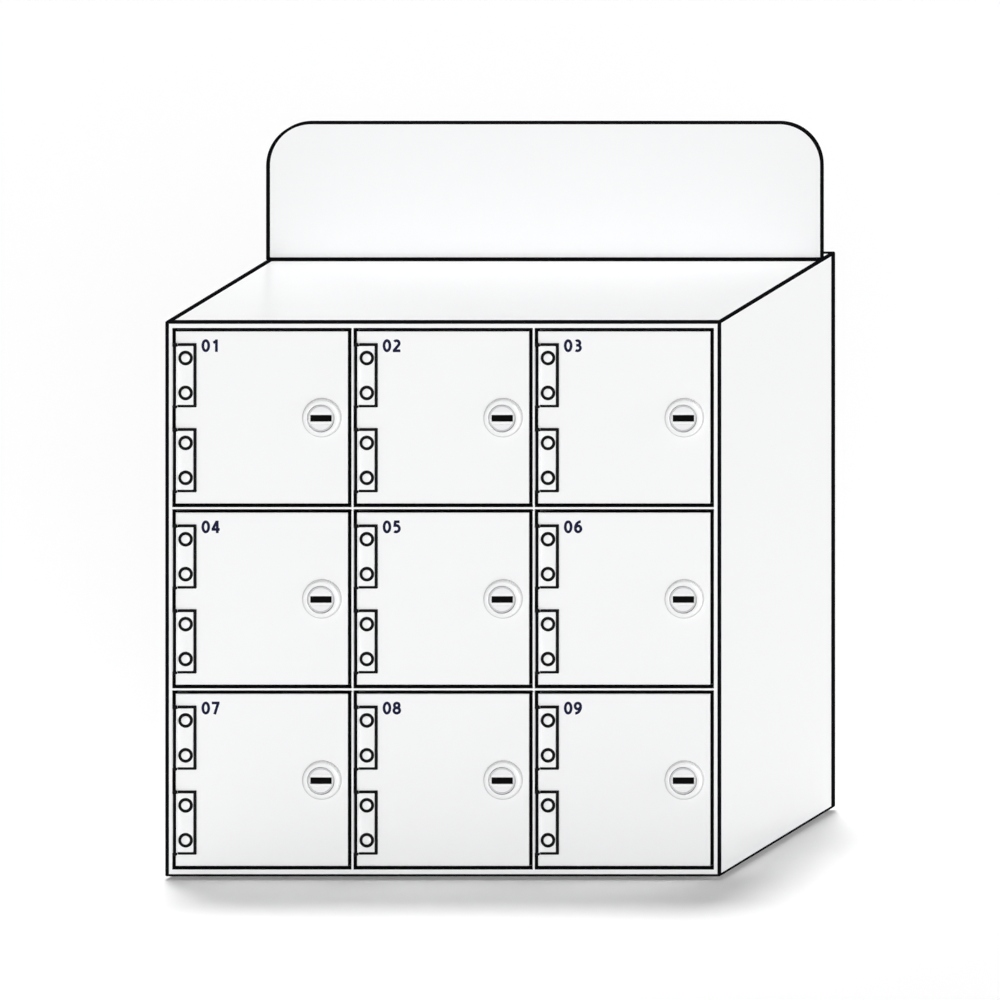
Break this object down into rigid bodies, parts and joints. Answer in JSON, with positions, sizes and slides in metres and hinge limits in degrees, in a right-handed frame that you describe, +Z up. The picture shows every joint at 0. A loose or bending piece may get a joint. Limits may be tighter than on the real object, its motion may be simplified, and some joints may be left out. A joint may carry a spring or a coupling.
{
  "type": "phone locker box",
  "caption": "White countertop locker box with numbered inset doors in a square grid, each on two surface hinges with a cam lock, and a plain header board on top.",
  "frame": {"origin": "middle of the footprint, on the surface the box stands on", "axes": "+X to the right seen from the doors, +Y from the doors to the back, +Z up"},
  "size_m": [0.331, 0.173, 0.415],
  "materials": {
    "white_sheet": "gloss",
    "white_block": "gloss",
    "hinge_metal": "satin",
    "fittings_metal": "satin",
    "lock_metal": "satin",
    "cam_steel": "brushed",
    "foot_rubber": "matte"
  },
  "bodies": {
    "case": {"left_side_panel": "white_sheet", "right_side_panel": "white_sheet", "top_panel": "white_sheet", "bottom_panel": "white_sheet", "back_panel": "white_sheet", "lower_shelf": "white_sheet", "upper_shelf": "white_sheet", "left_divider": "white_sheet", "right_divider": "white_sheet", "header_board": "white_sheet", "lock_strikes": "white_block", "case_hinge_leaves": "hinge_metal", "feet": "foot_rubber"},
    "door_01": {"door_01": "white_sheet", "door_01_fittings": "fittings_metal"},
    "lock_01": {"lock_01_plug": "lock_metal", "lock_01_cam": "cam_steel"},
    "door_02": {"door_02": "white_sheet", "door_02_fittings": "fittings_metal"},
    "lock_02": {"lock_02_plug": "lock_metal", "lock_02_cam": "cam_steel"},
    "door_03": {"door_03": "white_sheet", "door_03_fittings": "fittings_metal"},
    "lock_03": {"lock_03_plug": "lock_metal", "lock_03_cam": "cam_steel"},
    "door_04": {"door_04": "white_sheet", "door_04_fittings": "fittings_metal"},
    "lock_04": {"lock_04_plug": "lock_metal", "lock_04_cam": "cam_steel"},
    "door_05": {"door_05": "white_sheet", "door_05_fittings": "fittings_metal"},
    "lock_05": {"lock_05_plug": "lock_metal", "lock_05_cam": "cam_steel"},
    "door_06": {"door_06": "white_sheet", "door_06_fittings": "fittings_metal"},
    "lock_06": {"lock_06_plug": "lock_metal", "lock_06_cam": "cam_steel"},
    "door_07": {"door_07": "white_sheet", "door_07_fittings": "fittings_metal"},
    "lock_07": {"lock_07_plug": "lock_metal", "lock_07_cam": "cam_steel"},
    "door_08": {"door_08": "white_sheet", "door_08_fittings": "fittings_metal"},
    "lock_08": {"lock_08_plug": "lock_metal", "lock_08_cam": "cam_steel"},
    "door_09": {"door_09": "white_sheet", "door_09_fittings": "fittings_metal"},
    "lock_09": {"lock_09_plug": "lock_metal", "lock_09_cam": "cam_steel"}
  },
  "joints": [
    {"name": "door_01_hinge", "type": "hinge", "parent": "case", "child": "door_01", "pos_m": [-0.159, -0.085, 0.2755], "axis": [0, 0, -1], "range_deg": [0, 110]},
    {"name": "lock_01_turn", "type": "hinge", "parent": "door_01", "child": "lock_01", "pos_m": [-0.0719, -0.0835, 0.2755], "axis": [0, 1, 0], "range_deg": [0, 90]},
    {"name": "door_02_hinge", "type": "hinge", "parent": "case", "child": "door_02", "pos_m": [-0.051, -0.085, 0.2755], "axis": [0, 0, -1], "range_deg": [0, 110]},
    {"name": "lock_02_turn", "type": "hinge", "parent": "door_02", "child": "lock_02", "pos_m": [0.0361, -0.0835, 0.2755], "axis": [0, 1, 0], "range_deg": [0, 90]},
    {"name": "door_03_hinge", "type": "hinge", "parent": "case", "child": "door_03", "pos_m": [0.057, -0.085, 0.2755], "axis": [0, 0, -1], "range_deg": [0, 110]},
    {"name": "lock_03_turn", "type": "hinge", "parent": "door_03", "child": "lock_03", "pos_m": [0.1441, -0.0835, 0.2755], "axis": [0, 1, 0], "range_deg": [0, 90]},
    {"name": "door_04_hinge", "type": "hinge", "parent": "case", "child": "door_04", "pos_m": [-0.159, -0.085, 0.1675], "axis": [0, 0, -1], "range_deg": [0, 110]},
    {"name": "lock_04_turn", "type": "hinge", "parent": "door_04", "child": "lock_04", "pos_m": [-0.0719, -0.0835, 0.1675], "axis": [0, 1, 0], "range_deg": [0, 90]},
    {"name": "door_05_hinge", "type": "hinge", "parent": "case", "child": "door_05", "pos_m": [-0.051, -0.085, 0.1675], "axis": [0, 0, -1], "range_deg": [0, 110]},
    {"name": "lock_05_turn", "type": "hinge", "parent": "door_05", "child": "lock_05", "pos_m": [0.0361, -0.0835, 0.1675], "axis": [0, 1, 0], "range_deg": [0, 90]},
    {"name": "door_06_hinge", "type": "hinge", "parent": "case", "child": "door_06", "pos_m": [0.057, -0.085, 0.1675], "axis": [0, 0, -1], "range_deg": [0, 110]},
    {"name": "lock_06_turn", "type": "hinge", "parent": "door_06", "child": "lock_06", "pos_m": [0.1441, -0.0835, 0.1675], "axis": [0, 1, 0], "range_deg": [0, 90]},
    {"name": "door_07_hinge", "type": "hinge", "parent": "case", "child": "door_07", "pos_m": [-0.159, -0.085, 0.0595], "axis": [0, 0, -1], "range_deg": [0, 110]},
    {"name": "lock_07_turn", "type": "hinge", "parent": "door_07", "child": "lock_07", "pos_m": [-0.0719, -0.0835, 0.0595], "axis": [0, 1, 0], "range_deg": [0, 90]},
    {"name": "door_08_hinge", "type": "hinge", "parent": "case", "child": "door_08", "pos_m": [-0.051, -0.085, 0.0595], "axis": [0, 0, -1], "range_deg": [0, 110]},
    {"name": "lock_08_turn", "type": "hinge", "parent": "door_08", "child": "lock_08", "pos_m": [0.0361, -0.0835, 0.0595], "axis": [0, 1, 0], "range_deg": [0, 90]},
    {"name": "door_09_hinge", "type": "hinge", "parent": "case", "child": "door_09", "pos_m": [0.057, -0.085, 0.0595], "axis": [0, 0, -1], "range_deg": [0, 110]},
    {"name": "lock_09_turn", "type": "hinge", "parent": "door_09", "child": "lock_09", "pos_m": [0.1441, -0.0835, 0.0595], "axis": [0, 1, 0], "range_deg": [0, 90]}
  ]
}
